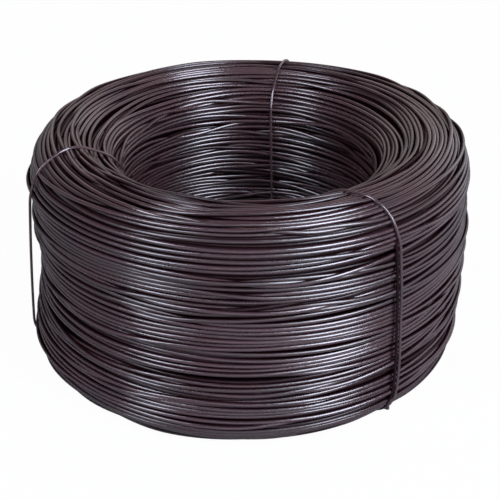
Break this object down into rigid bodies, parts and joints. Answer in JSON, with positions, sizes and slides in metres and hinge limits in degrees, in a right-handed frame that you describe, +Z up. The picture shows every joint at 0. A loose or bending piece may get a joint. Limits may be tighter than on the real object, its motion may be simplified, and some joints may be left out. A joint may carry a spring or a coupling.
{
  "type": "coil of annealed steel wire",
  "caption": "Coil of dark annealed steel wire lying flat, wound round an open bore and held by thin tie wires.",
  "frame": {"origin": "centre of the coil's base, where it lies on the floor", "axes": "+Z up along the coil's axis; the front that the picture shows faces -Y, and +X is to its right"},
  "size_m": [0.1464, 0.1465, 0.0762],
  "materials": {
    "annealed_wire": "satin annealing oxide, brown-black",
    "tie_wire": "satin annealing oxide, brown-black"
  },
  "bodies": {
    "root": {"wire_coil": "annealed_wire", "tie_wire_left": "tie_wire", "tie_wire_back": "tie_wire", "tie_wire_right": "tie_wire"}
  },
  "joints": []
}
